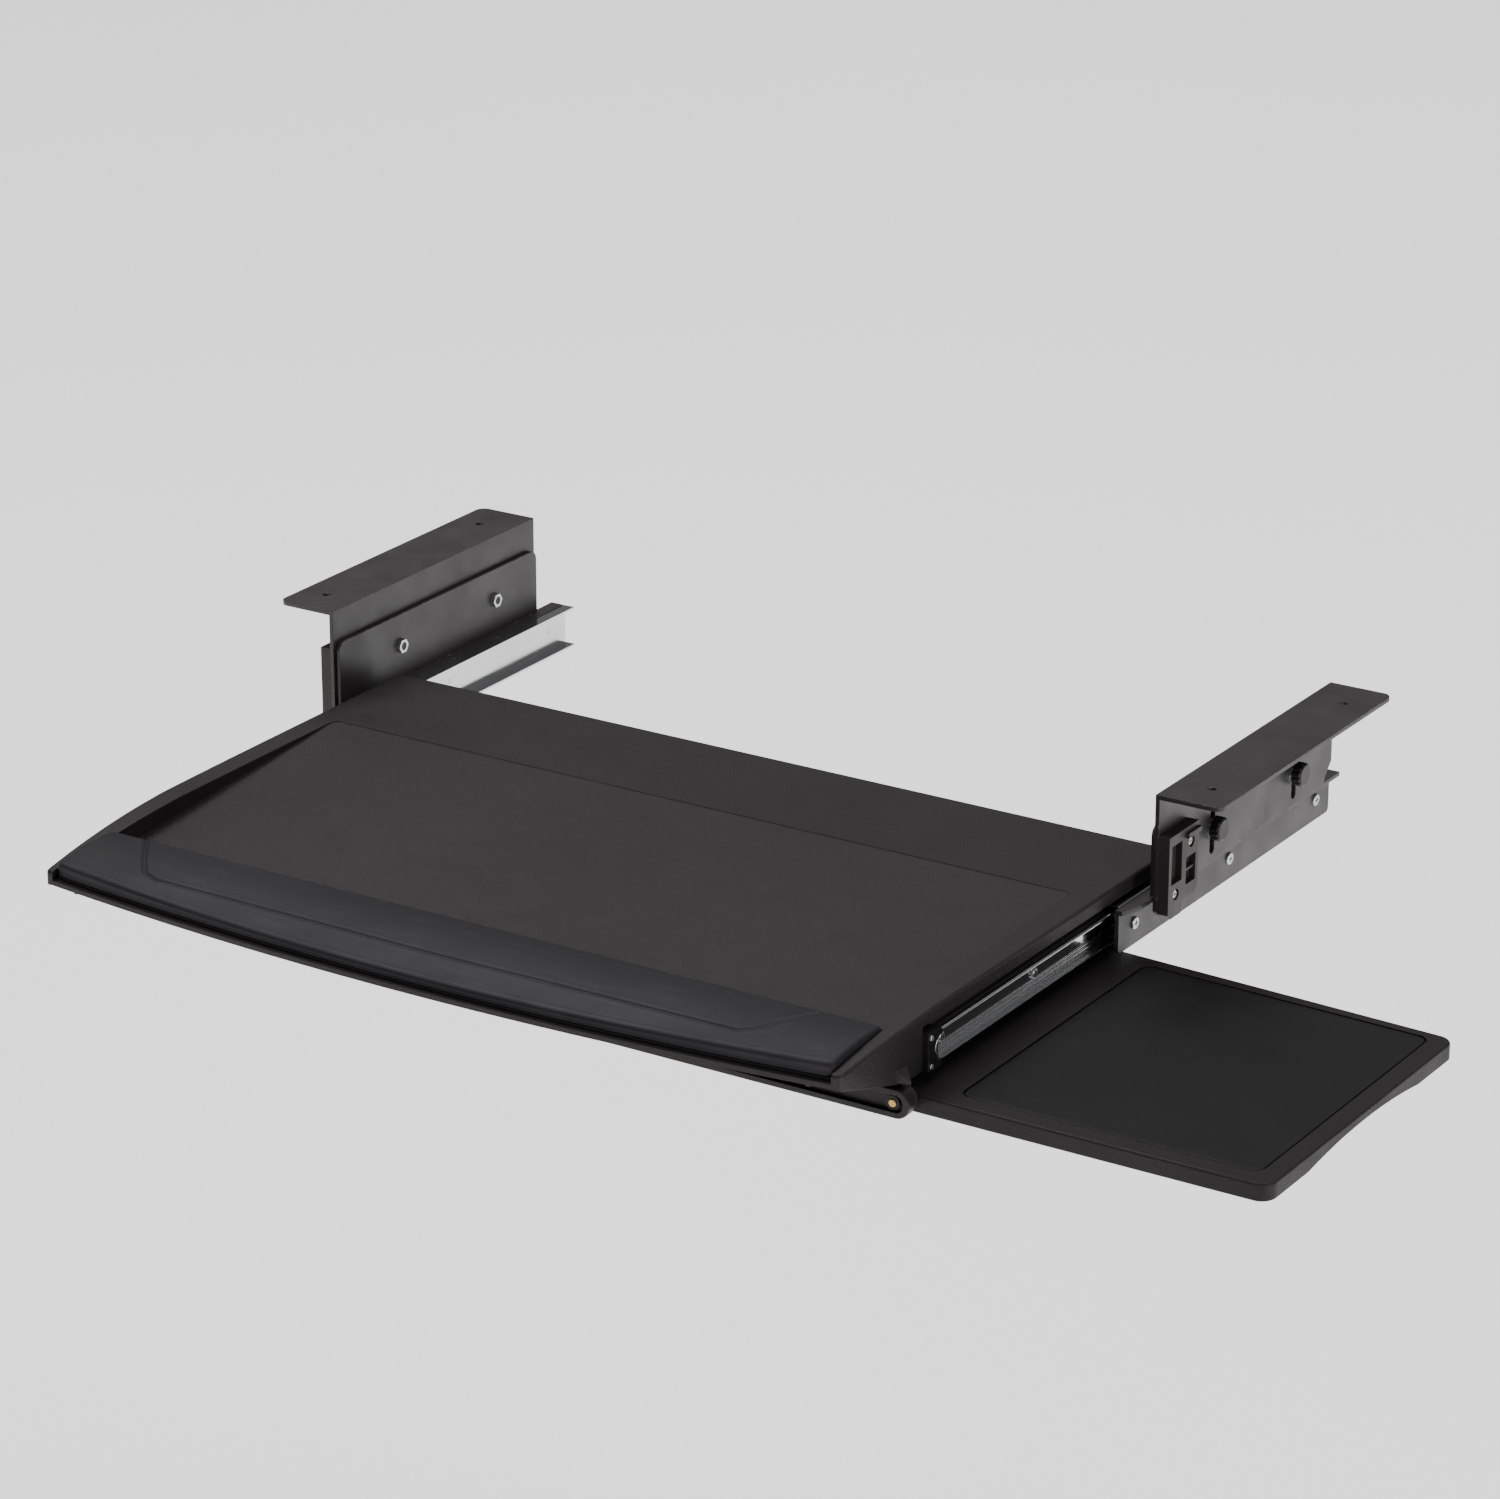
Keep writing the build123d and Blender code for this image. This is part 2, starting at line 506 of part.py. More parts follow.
# ---- guide rails ---------------------------------------------------------
def rail(r):
    """Rail under the tray: grooved bar with a round end, and flanges that hold the platform's edge."""
    back = r.face + r.way * RAIL_DEPTH
    tab = sorted((back, back - r.way * RAIL_TAB_T))
    body = sorted((back - r.way, r.face))
    low, high = RAIL_TOP - RAIL_H, RAIL_TOP
    bar = block(RAIL_LEFT, r.end_x, *tab, low, high) + rod_y(r.end_x, *tab, RAIL_MID, RAIL_R)
    bar = fillet(bar.edges().filter_by(lambda e: abs(e.center().Y - back) < 0.01), 0.8)
    catch = sorted((r.face, r.face - r.way * r.catch))
    foot = sorted((r.face + r.way * 6, r.face - r.way * r.foot))
    heel = sorted((r.face + r.way * 6, r.face))
    bar += block(RAIL_LEFT, r.body_x, *body, low, high)
    bar += block(RAIL_LEFT, r.body_x, *catch, high - CATCH_T, high)
    bar += block(RAIL_LEFT, r.body_x, *foot, FOOT_TOP - FOOT_T, FOOT_TOP)
    bar += block(RAIL_LEFT, r.body_x, *heel, FOOT_TOP - FOOT_T, low + 2)
    bar -= rail_groove(r, back)
    bar -= rod_y(r.end_x - PIN_INSET, tab[0] - 1, tab[1] + 1, RAIL_MID - PIN_DROP, PIN_R + FIT_GAP)
    for x in RAIL_SCREW_X:
        bar -= rod_z(x, rail_screw_y(r), low - 3, high + 1, 1.6)
        bar -= rod_z(x, rail_screw_y(r), FOOT_TOP - FOOT_T - 1, low + 3, 3.4)
    return bar


def rail_groove(r, back):
    """Groove with round ends along the outer side of the bar."""
    y = sorted((back + r.way, back - r.way * GROOVE_DEPTH))
    left = RAIL_LEFT + RAIL_R
    groove = block(left, r.end_x, *y, RAIL_MID - GROOVE_HALF, RAIL_MID + GROOVE_HALF)
    return groove + [rod_y(x, *y, RAIL_MID, GROOVE_HALF) for x in (left, r.end_x)]


def rail_pins():
    """Brass pins that hold the round ends of the rails to the ears."""
    pins = []
    for r in RAILS:
        y = sorted((r.face + r.way * (RAIL_DEPTH - 0.9), r.face + r.way * 0.4))
        pin = rod_y(r.end_x - PIN_INSET, *y, RAIL_MID - PIN_DROP, PIN_R)
        rim = pin.edges().filter_by(GeomType.CIRCLE).sort_by(lambda e: -r.way * e.center().Y)[0]
        pins.append(fillet(rim, 0.9))
    return Part() + pins


def rail_bushes():
    """Collars in the rail groove around the pins."""
    bushes = []
    for r in RAILS:
        y = sorted((r.face + r.way * (RAIL_DEPTH - GROOVE_DEPTH), r.face + r.way * (RAIL_DEPTH - 1.6)))
        x, z = r.end_x - PIN_INSET, RAIL_MID - PIN_DROP
        bushes.append(rod_y(x, *y, z, 4.2) - rod_y(x, y[0] - 1, y[1] + 1, z, PIN_R + FIT_GAP))
    return Part() + bushes


def rail_screws():
    head = RAIL_TOP - RAIL_H + 3
    screws = []
    for r in RAILS:
        for x in RAIL_SCREW_X:
            y = rail_screw_y(r)
            screws.append(rod_z(x, y, head - 2.4, head, 3.2) + rod_z(x, y, head, RAIL_TOP + 7.5, 1.6))
    return Part() + screws


def stop_pegs():
    """Pegs that the platform's inner wall meets when it is fully out."""
    x = PLATFORM_X[0] + SKIRT_T + 3.2
    places = (FRONT_RAIL.face + 9.0, REAR_RAIL.face - 22.5)
    return Part() + [rod_z(x, y, FOOT_TOP, FOOT_TOP + 4.6, 2.5) for y in places]


def stow_bumpers():
    """Rubber blocks in the rails that the platform meets when it is fully in."""
    x = PLATFORM_X[0] - STOW_TRAVEL - 0.5
    z0, z1 = FOOT_TOP, RAIL_TOP - CATCH_T
    bumpers = []
    for r, depth in ((FRONT_RAIL, 6.0), (REAR_RAIL, 16.0)):
        bumpers.append(block(x - 10, x, *sorted((r.face, r.face - r.way * depth)), z0, z1))
    return Part() + [fillet(b.edges().filter_by(Axis.Z), 1.5) for b in bumpers]


# ---- mouse platform ------------------------------------------------------
def platform_plan(inset, z0, z1, radius):
    x0, x1 = PLATFORM_X[0] + inset, PLATFORM_X[1] - inset
    slope = (PLATFORM_BACK[1] - PLATFORM_BACK[0]) / (PLATFORM_X[1] - PLATFORM_X[0])
    y_front = PLATFORM_FRONT + inset
    y_left = PLATFORM_BACK[0] - inset + slope * inset
    y_right = PLATFORM_BACK[1] - inset - slope * inset
    solid = prism_z([(x0, y_front), (x1, y_front), (x1, y_right), (x0, y_left)], z0, z1)
    return fillet(solid.edges().filter_by(Axis.Z), radius)


def mouse_platform():
    bottom = PLATFORM_TOP - PLATFORM_H
    under = PLATFORM_TOP - PLATE_T
    body = platform_plan(0, bottom, PLATFORM_TOP, 9)
    body = fillet(body.faces().sort_by(Axis.Z)[-1].edges(), 1.4)
    body = chamfer(body.faces().sort_by(Axis.Z)[0].edges(), 0.6)
    body -= platform_plan(SKIRT_T, bottom - 1, under, 6)
    for x in range(250, 460, 42):
        body += block(x - 1, x + 1, PLATFORM_FRONT + 2, -132, under - 1.2, under)
    for y in (-300, -255, -210, -165):
        body += block(PLATFORM_X[0] + 2, PLATFORM_X[1] - 2, y - 1, y + 1, under - 1.2, under)
    body -= pad_plan(PAD_GAP, PLATFORM_TOP - PAD_RECESS, PLATFORM_TOP + 1, 7)
    return body - finger_scoop()


def finger_scoop():
    """Shallow arch in the outer wall, for the fingers that pull the platform out."""
    bottom = PLATFORM_TOP - PLATFORM_H
    arch = ThreePointArc((-306, bottom - 1), (-232, bottom + 5.2), (-158, bottom - 1))
    face = make_face(Curve() + [arch, Line((-158, bottom - 1), (-306, bottom - 1))])
    return extrude(Plane.YZ.offset(PLATFORM_X[1] - 20) * face, amount=30)


def pad_plan(grow, z0, z1, radius):
    x0, x1 = PAD_X[0] - grow, PAD_X[1] + grow
    y0, y_left, y_right = PAD_Y[0] - grow, PAD_Y[1] + grow, PAD_Y[2] + grow
    solid = prism_z([(x0, y0), (x1, y0), (x1, y_right), (x0, y_left)], z0, z1)
    return fillet(solid.edges().filter_by(Axis.Z), radius)


def mouse_pad():
    floor = PLATFORM_TOP - PAD_RECESS
    pad = pad_plan(0, floor, floor + PAD_T, 6)
    return fillet(pad.faces().sort_by(Axis.Z)[-1].edges(), 0.5)


# ---- write the parts -----------------------------------------------------
def add_pair(name, shape):
    parts["right_" + name] = shape
    parts["left_" + name] = other_side(shape)


def build_all():
    parts["keyboard_tray"] = keyboard_tray()
    parts["wrist_rest"] = wrist_rest()
    parts["wrist_rest_plate"] = rest_plate()
    add_pair("slide_inner", slide_inner())
    add_pair("slide_outer", slide_outer())
    add_pair("ball_retainer", ball_retainer())
    add_pair("slide_balls", balls())
    add_pair("slide_end_stop", slide_end_stop())
    parts["end_stop_rivets"] = end_stop_rivets()
    parts["end_stop_clips"] = end_stop_clip()
    parts["slide_screws"] = inner_screws()
    parts["slide_rivets"] = outer_rivets()
    add_pair("desk_bracket", desk_bracket())
    add_pair("guide_block", guide_block())
    parts["guide_block_screws"] = guide_screws()
    add_pair("hanger", hanger())
    parts["height_lock_screws"] = both(Part() + [lock_screw(y) for y in LOCK_Y])
    parts["height_lock_washers"] = both(Part() + [lock_washer(y) for y in LOCK_Y])
    nuts = [hexagon_nut(HANGER_X - 2.6, HANGER_X, y, LOCK_Z, 8.0, LOCK_R + FIT_GAP) for y in LOCK_Y]
    parts["height_lock_nuts"] = both(Part() + nuts)
    parts["front_guide_rail"] = rail(FRONT_RAIL)
    parts["rear_guide_rail"] = rail(REAR_RAIL)
    parts["rail_pins"] = rail_pins()
    parts["rail_bushes"] = rail_bushes()
    parts["rail_screws"] = rail_screws()
    parts["platform_stop_pegs"] = stop_pegs()
    parts["stow_bumpers"] = stow_bumpers()
    parts["mouse_platform"] = mouse_platform()
    parts["mouse_pad"] = mouse_pad()


build_all()
os.makedirs("parts", exist_ok=True)
for name, shape in parts.items():
    export_step(shape, f"parts/{name}.step")
    print(name, len(shape.solids()), round(shape.volume / 1000, 2), "cm3")
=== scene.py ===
import json
import math

import bmesh
import bpy
import numpy as np
from mathutils import Matrix, Vector

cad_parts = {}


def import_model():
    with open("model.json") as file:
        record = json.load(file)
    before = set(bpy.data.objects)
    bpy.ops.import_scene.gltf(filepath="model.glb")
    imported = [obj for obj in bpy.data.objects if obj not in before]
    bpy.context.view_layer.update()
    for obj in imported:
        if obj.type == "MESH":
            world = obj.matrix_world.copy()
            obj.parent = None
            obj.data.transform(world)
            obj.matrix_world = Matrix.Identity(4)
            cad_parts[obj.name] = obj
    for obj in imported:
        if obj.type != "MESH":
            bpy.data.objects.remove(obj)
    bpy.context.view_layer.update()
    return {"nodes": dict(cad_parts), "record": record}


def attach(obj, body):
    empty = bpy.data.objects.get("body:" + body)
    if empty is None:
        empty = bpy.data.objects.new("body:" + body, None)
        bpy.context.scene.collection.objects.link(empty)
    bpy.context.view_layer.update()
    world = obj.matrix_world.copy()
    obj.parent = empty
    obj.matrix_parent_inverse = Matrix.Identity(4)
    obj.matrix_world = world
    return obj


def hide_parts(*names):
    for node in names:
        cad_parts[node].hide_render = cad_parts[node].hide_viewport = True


# Looks of the under-desk keyboard drawer.  Metres, in the CAD frame; MM turns millimetres into metres.
MM = 0.001

# ---- camera --------------------------------------------------------------
CAMERA_AT = (1.5500, -2.5134, 1.0621)
CAMERA_AZIMUTH = 32.469        # degrees to the right of straight on
CAMERA_ELEVATION = 20.882
CAMERA_LENS = 127.89

# ---- floor and light -----------------------------------------------------
FLOOR_Z = -0.70
FLOOR_SIZE = 30.0
LIGHTS = (                     # name, place, target, size x, size y, watts
    ("key_light", (-1.6, 0.2, 2.4), (0.0, -0.25, -0.06), 2.4, 1.4, 34.0),
    ("front_light", (0.3, -2.8, 1.5), (0.1, -0.3, -0.06), 2.4, 1.2, 9.0),
    ("side_light", (2.4, -0.5, 0.30), (0.28, -0.2, -0.08), 0.4, 1.6, 17.0),
    ("floor_light", (0.0, 1.5, 4.5), (0.0, 1.0, -0.7), 6.0, 6.0, 150.0),
)
SKY_LOW = 0.05
SKY_HIGH = 0.42
FLOOR_GLOW = 1.0

# ---- wrist rest, in millimetres (the solid that it stands for has these sizes) -----------
REST_HALF = 254.4
REST_FRONT = -414.8            # foremost point, at the middle
REST_SAG = 16.4                # how far the ends of the front edge lie behind the middle
REST_BACK = -350.0
REST_BASE = -64.1
REST_TOP = ((-350.0, -52.4), (-358.0, -52.1), (-366.0, -52.0), (-379.0, -52.8), (-392.0, -54.6),
            (-404.0, -57.0), (-414.8, -59.2))
REST_CURVE = np.polyfit([y - REST_BACK for y, _ in REST_TOP], [z for _, z in REST_TOP], 4)
REST_FOLD_DEPTH = 4.5
REST_FOLD_DROP = 3.0
GROOVE_PATH = ((-232.0, -345.0), (-209.5, -376.0), (-201.0, -386.5), (-191.0, -390.5), (0.0, -392.5),
               (191.0, -390.5), (199.0, -386.0), (206.0, -375.0), (223.0, -345.0))
GROOVE_WIDTH = 1.0
GROOVE_DEPTH = 1.1
GROOVE_FADE = 4.0              # the groove fades out between twice this and this above the base
BANK_HEIGHT = 0.12             # soft swelling on both sides of the groove
BANK_AT = 2.6
BANK_WIDTH = 1.6
REST_END_R = 3.2
REST_CORNER_R = 7.0            # lower corners of the front face
REST_CORNER_SHARE = 0.85       # how much of that rounding reaches the base
REST_HEIGHT = 12.0             # crown above the base, by which the rounding of the ends is shared out
REST_BACK_R = 1.4              # rounding along the top of the back
REST_FOOT = 1.2                # bevel along the bottom of the front
REST_HEEL_Y, REST_HEEL_Z = 0.6, 0.8    # bevel along the bottom of the back
REST_HOLLOW = 0.35             # how far the front face is dished
REST_FRONT_PART = 30.0         # the ends sweep back only beyond this distance from the back
REST_COLUMNS = 420
REST_ROWS = 90

# ---- mouse pad, in millimetres -------------------------------------------
PAD_CORNERS = ((288.0, -326.5), (462.0, -326.5), (462.0, -131.0), (288.0, -124.5))
PAD_FLOOR = -94.0
PAD_THICK = 1.8
PAD_CORNER_R = 6.0
PAD_DIAGONAL = 1.41            # a corner's inset for one millimetre of inset along the sides
PAD_RINGS = 26
PAD_WAVE = 0.03                # unevenness of the film
PAD_WAVE_X, PAD_WAVE_Y = 52, 43        # its waves, in radians a metre

# ---- inner slide members, in millimetres ---------------------------------
SLIDE_X = 260.6                # back of the web
SLIDE_Y = -312.0
SLIDE_Z = -74.5
SLIDE_LENGTH = 250.0
SLIDE_HALF = 9.3
SLIDE_DEPTH = 6.4
SLIDE_SHEET = 1.2
SLIDE_RIBS = ((-5.4, 0.75), (-3.0, 0.6), (4.9, 0.6))    # height and half-width
SLIDE_OUTER_R = 1.8
SLIDE_INNER_R = 0.8
SLIDE_LIP = 1.7                # inner edge of each lip, short of its outer edge by this
SLIDE_PINCH = 0.3              # how much the ends are pressed in
SLIDE_PINCH_LENGTH = 0.5
SLIDE_END_STEPS = (0.0, 0.4, 1.0, 3.0)
SLIDE_SHARP = 38               # degrees between faces, above which an edge stays sharp

# ---- surfaces, in metres ---------------------------------------------------
EDGE_R = 0.0005
GRAIN_DEPTH = 0.0002
GRAIN_CELLS = 1000.0


# ---- materials -----------------------------------------------------------
class Shader:
    """A node material under construction."""

    def __init__(self, name):
        self.mat = bpy.data.materials.new(name)
        self.mat.use_nodes = True
        self.tree = self.mat.node_tree
        self.tree.nodes.clear()
        self.out = self.tree.nodes.new("ShaderNodeOutputMaterial")
        self.bsdf = self.tree.nodes.new("ShaderNodeBsdfPrincipled")
        self.link(self.bsdf.outputs[0], self.out.inputs[0])
        self.coords = self.tree.nodes.new("ShaderNodeTexCoord").outputs["Object"]

    def link(self, a, b):
        self.tree.links.new(a, b)

    def put(self, socket, value):
        if isinstance(value, bpy.types.NodeSocket):
            self.link(value, socket)
        else:
            socket.default_value = value

    def node(self, kind, inputs=None, **settings):
        n = self.tree.nodes.new("ShaderNode" + kind)
        for key, value in settings.items():
            setattr(n, key, value)
        for key, value in (inputs or {}).items():
            self.put(n.inputs[key], value)
        return n

    def stretched(self, scale):
        return self.node("Mapping", {"Vector": self.coords, "Scale": scale}).outputs[0]

    def noise(self, scale, detail, vector=None):
        inputs = {"Vector": vector or self.coords, "Scale": scale, "Detail": detail}
        return self.node("TexNoise", inputs).outputs[0]

    def cells(self, scale):
        n = self.node("TexVoronoi", {"Vector": self.coords, "Scale": scale}, feature="SMOOTH_F1")
        return n.outputs["Distance"]

    def ranged(self, value, low, high, to_low, to_high):
        return self.node("MapRange", {"Value": value, "From Min": low, "From Max": high,
                                      "To Min": to_low, "To Max": to_high}).outputs[0]

    def patchy(self, scale, detail, low, high):
        """Value that wanders between low and high over the surface."""
        return self.ranged(self.noise(scale, detail), 0.3, 0.7, low, high)

    def maths(self, operation, a, b):
        return self.node("Math", {0: a, 1: b}, operation=operation).outputs[0]

    def mix(self, factor, a, b):
        n = self.node("Mix", data_type="RGBA")
        self.put(n.inputs[0], factor)
        self.put(n.inputs[6], a)
        self.put(n.inputs[7], b)
        return n.outputs[2]

    def bump(self, height, distance, strength, normal=None):
        inputs = {"Height": height, "Distance": distance, "Strength": strength}
        if normal is not None:
            inputs["Normal"] = normal
        return self.node("Bump", inputs).outputs[0]

    def rounded(self, radius):
        """Normal that turns softly over an edge, and how close to an edge a point is, from 0 to 1."""
        soft = self.node("Bevel", {"Radius": radius}, samples=4).outputs[0]
        flat = self.node("NewGeometry").outputs["Normal"]
        same = self.node("VectorMath", {0: soft, 1: flat}, operation="DOT_PRODUCT").outputs["Value"]
        return soft, self.ranged(same, 0.999, 0.86, 0.0, 1.0)


def grey(v, warm=0.0):
    return (v * (1 + warm), v, v, 1.0)


def scaled(colour, factor):
    """Colour made lighter or darker."""
    return [min(1.0, c * factor) for c in colour[:3]] + [1.0]


def plastic(name, colour, rough, wear_and_highlight=0.5, specular=0.30):
    """Moulded black plastic: a fine leathery grain, uneven sheen, and lighter edges that are partly rubbed
    wear and partly a painted edge highlight.
    """
    s = Shader(name)
    soft, edge = s.rounded(EDGE_R)
    speck = s.ranged(s.noise(1100.0, 2.0), 0.35, 0.75, 0.0, 0.3)
    tone = s.mix(s.patchy(9.0, 4.0, 0.0, 1.0), scaled(colour, 0.86), scaled(colour, 1.16))
    tone = s.mix(speck, tone, scaled(colour, 1.9))
    # lighter edges: partly real rubbed wear, partly a painted highlight along every edge
    rubbed_and_lit_edge = s.maths("MULTIPLY", edge, s.ranged(s.noise(60.0, 4.0), 0.35, 0.7, 0.2, 1.0))
    tone = s.mix(s.maths("MULTIPLY", rubbed_and_lit_edge, wear_and_highlight), tone, scaled(colour, 3.4))
    s.put(s.bsdf.inputs["Base Color"], tone)
    dull = s.patchy(34.0, 5.0, rough - 0.06, rough + 0.08)
    s.put(s.bsdf.inputs["Roughness"], s.maths("SUBTRACT", dull, s.maths("MULTIPLY", rubbed_and_lit_edge, 0.12)))
    s.bsdf.inputs["Specular IOR Level"].default_value = specular
    s.bsdf.inputs["Specular Tint"].default_value = (1.0, 0.93, 0.93, 1.0)
    height = s.maths("ADD", s.cells(GRAIN_CELLS), s.noise(GRAIN_CELLS * 0.5, 2.0))
    s.put(s.bsdf.inputs["Normal"], s.bump(height, GRAIN_DEPTH, 0.7, soft))
    return s.mat


def powder_coat(name, colour, rough):
    """Black powder coat on bent sheet: orange peel, and bare rubbed edges."""
    s = Shader(name)
    soft, edge = s.rounded(0.0007)
    chips = s.maths("MULTIPLY", edge, s.ranged(s.noise(240.0, 5.0), 0.56, 0.66, 0.0, 1.0))
    tone = s.mix(s.patchy(14.0, 3.0, 0.0, 1.0), colour, scaled(colour, 1.4))
    s.put(s.bsdf.inputs["Base Color"], s.mix(chips, tone, (0.30, 0.30, 0.31, 1)))
    s.put(s.bsdf.inputs["Metallic"], s.maths("MULTIPLY", chips, 0.8))
    s.put(s.bsdf.inputs["Roughness"], s.patchy(45.0, 4.0, rough - 0.07, rough + 0.08))
    s.put(s.bsdf.inputs["Normal"], s.bump(s.noise(700.0, 2.0), 0.00005, 0.6, soft))
    return s.mat


def bright_metal(name, colour, rough, drawn, radius=EDGE_R, grime=0.35):
    """Plated or turned metal: drawn lines in one direction, and faint dull stains."""
    s = Shader(name)
    soft = s.node("Bevel", {"Radius": radius}, samples=4).outputs[0]
    lines = s.noise(1.0, 3.0, s.stretched(drawn))
    stain = s.ranged(s.noise(28.0, 6.0), 0.45, 0.75, 0.0, grime)
    tone = s.mix(stain, colour, scaled(colour, 0.45))
    tone = s.mix(s.ranged(lines, 0.3, 0.7, 0.0, 0.25), tone, scaled(colour, 0.7))
    s.put(s.bsdf.inputs["Base Color"], tone)
    s.bsdf.inputs["Metallic"].default_value = 1.0
    dull = s.ranged(lines, 0.25, 0.75, rough - 0.05, rough + 0.1)
    s.put(s.bsdf.inputs["Roughness"], s.maths("ADD", dull, s.maths("MULTIPLY", stain, 0.4)))
    s.put(s.bsdf.inputs["Normal"], s.bump(lines, 0.00002, 0.5, soft))
    return s.mat


def rest_skin(name):
    """Soft satin skin of the wrist rest: tiny pores and faint rub marks where the wrists lie."""
    s = Shader(name)
    dark, light = (0.0085, 0.0078, 0.0094, 1), (0.0125, 0.0115, 0.0138, 1)
    tone = s.mix(s.patchy(7.0, 4.0, 0.0, 1.0), dark, light)
    scuff = s.ranged(s.noise(1.0, 5.0, s.stretched((26.0, 120.0, 60.0))), 0.56, 0.8, 0.0, 0.5)
    tone = s.mix(scuff, tone, (0.032, 0.030, 0.034, 1))
    s.put(s.bsdf.inputs["Base Color"], tone)
    s.put(s.bsdf.inputs["Roughness"], s.patchy(24.0, 5.0, 0.46, 0.55))
    s.bsdf.inputs["Specular IOR Level"].default_value = 0.25
    s.bsdf.inputs["Specular Tint"].default_value = (1.0, 0.95, 0.99, 1.0)
    s.bsdf.inputs["Sheen Weight"].default_value = 0.03
    height = s.maths("ADD", s.cells(1900.0), s.noise(420.0, 3.0))
    s.put(s.bsdf.inputs["Normal"], s.bump(height, 0.00003, 0.6))
    return s.mat


def pad_film(name):
    """Hard-wearing film of the mouse pad: fine dots, and paler tracks where the mouse has run."""
    s = Shader(name)
    tracks = s.ranged(s.noise(1.0, 4.0, s.stretched((22.0, 40.0, 10.0))), 0.5, 0.8, 0.0, 0.6)
    tone = s.mix(tracks, (0.0062, 0.0060, 0.0064, 1), (0.012, 0.0118, 0.0122, 1))
    s.put(s.bsdf.inputs["Base Color"], tone)
    s.put(s.bsdf.inputs["Roughness"], s.patchy(16.0, 5.0, 0.42, 0.54))
    s.bsdf.inputs["Specular IOR Level"].default_value = 0.22
    height = s.maths("ADD", s.cells(2400.0), s.noise(600.0, 2.0))
    s.put(s.bsdf.inputs["Normal"], s.bump(height, 0.00003, 0.5))
    return s.mat


def floor_paint(name):
    """Pale studio floor that glows a little."""
    s = Shader(name)
    tone = s.mix(s.patchy(0.7, 3.0, 0.0, 1.0), grey(0.80, 0.004), grey(0.83, 0.004))
    s.put(s.bsdf.inputs["Base Color"], tone)
    s.bsdf.inputs["Emission Color"].default_value = (1.0, 0.995, 0.985, 1.0)
    s.bsdf.inputs["Emission Strength"].default_value = FLOOR_GLOW
    s.bsdf.inputs["Roughness"].default_value = 0.9
    s.bsdf.inputs["Specular IOR Level"].default_value = 0.1
    return s.mat


def make_materials():
    """One material for each slot of the record."""
    steel = (0.62, 0.63, 0.64, 1.0)
    return {
        "tray_plastic": plastic("tray_plastic", grey(0.0140, 0.12), 0.50),
        "rest_skin": rest_skin("rest_skin"),
        "plate_plastic": plastic("plate_plastic", grey(0.010), 0.55),
        "zinc_slide": bright_metal("zinc_slide", (0.70, 0.71, 0.72, 1.0), 0.12, (300.0, 3.0, 300.0),
                                   radius=0.0002, grime=0.12),
        "ball_steel": bright_metal("ball_steel", (0.75, 0.75, 0.76, 1.0), 0.10, (300.0, 300.0, 300.0)),
        "retainer_plastic": plastic("retainer_plastic", grey(0.06), 0.45),
        "stop_plastic": plastic("stop_plastic", grey(0.009), 0.38, wear_and_highlight=0.4),
        "fastener_steel": bright_metal("fastener_steel", steel, 0.24, (500.0, 500.0, 500.0), 0.0002),
        "black_steel": powder_coat("black_steel", grey(0.021, 0.12), 0.42),
        "guide_plastic": plastic("guide_plastic", grey(0.030, 0.15), 0.46),
        "knob_plastic": plastic("knob_plastic", grey(0.011), 0.36),
        "rail_plastic": plastic("rail_plastic", grey(0.010, 0.15), 0.44, wear_and_highlight=0.7),
        "brass_pin": bright_metal("brass_pin", (0.62, 0.40, 0.15, 1.0), 0.26, (400.0, 400.0, 400.0), 0.0003),
        "bush_plastic": plastic("bush_plastic", grey(0.006), 0.40),
        "bumper_rubber": plastic("bumper_rubber", grey(0.010), 0.70, wear_and_highlight=0.2),
        "platform_plastic": plastic("platform_plastic", grey(0.0115, 0.10), 0.48, specular=0.23),
        "pad_surface": pad_film("pad_surface"),
    }


# ---- meshes --------------------------------------------------------------
def new_object(name, points, faces, material, smooth=True):
    mesh = bpy.data.meshes.new(name)
    mesh.from_pydata([tuple(p) for p in points], [], faces)
    mesh.validate()
    if smooth:
        mesh.polygons.foreach_set("use_smooth", [True] * len(mesh.polygons))
    mesh.materials.append(material)
    obj = bpy.data.objects.new(name, mesh)
    bpy.context.scene.collection.objects.link(obj)
    return obj


def turn_outward(mesh):
    """Point every face of a closed mesh outwards."""
    work = bmesh.new()
    work.from_mesh(mesh)
    bmesh.ops.recalc_face_normals(work, faces=work.faces)
    work.to_mesh(mesh)
    work.free()


def tube_faces(columns, rows):
    """Quads of a closed loop of rows carried along columns, and a cap at each end."""
    faces = []
    for c in range(columns - 1):
        for r in range(rows):
            a, b = c * rows + r, c * rows + (r + 1) % rows
            faces.append((a, b, b + rows, a + rows))
    faces.append(tuple(range(rows - 1, -1, -1)))
    last = (columns - 1) * rows
    faces.append(tuple(range(last, last + rows)))
    return faces


def distance_to_path(x, y, path):
    """Distance of points from a line of straight runs."""
    best = np.full(np.shape(x), 1e9)
    for (ax, ay), (bx, by) in zip(path, path[1:]):
        dx, dy = bx - ax, by - ay
        t = np.clip(((x - ax) * dx + (y - ay) * dy) / (dx * dx + dy * dy), 0, 1)
        best = np.minimum(best, np.hypot(x - ax - t * dx, y - ay - t * dy))
    return best


def quarter_drop(into, radius):
    """How far a quarter circle has fallen, as a share of its radius, at a distance into the curve."""
    share = min(1.0, max(0.0, into / radius))
    return 1 - math.sqrt(1 - share * share)


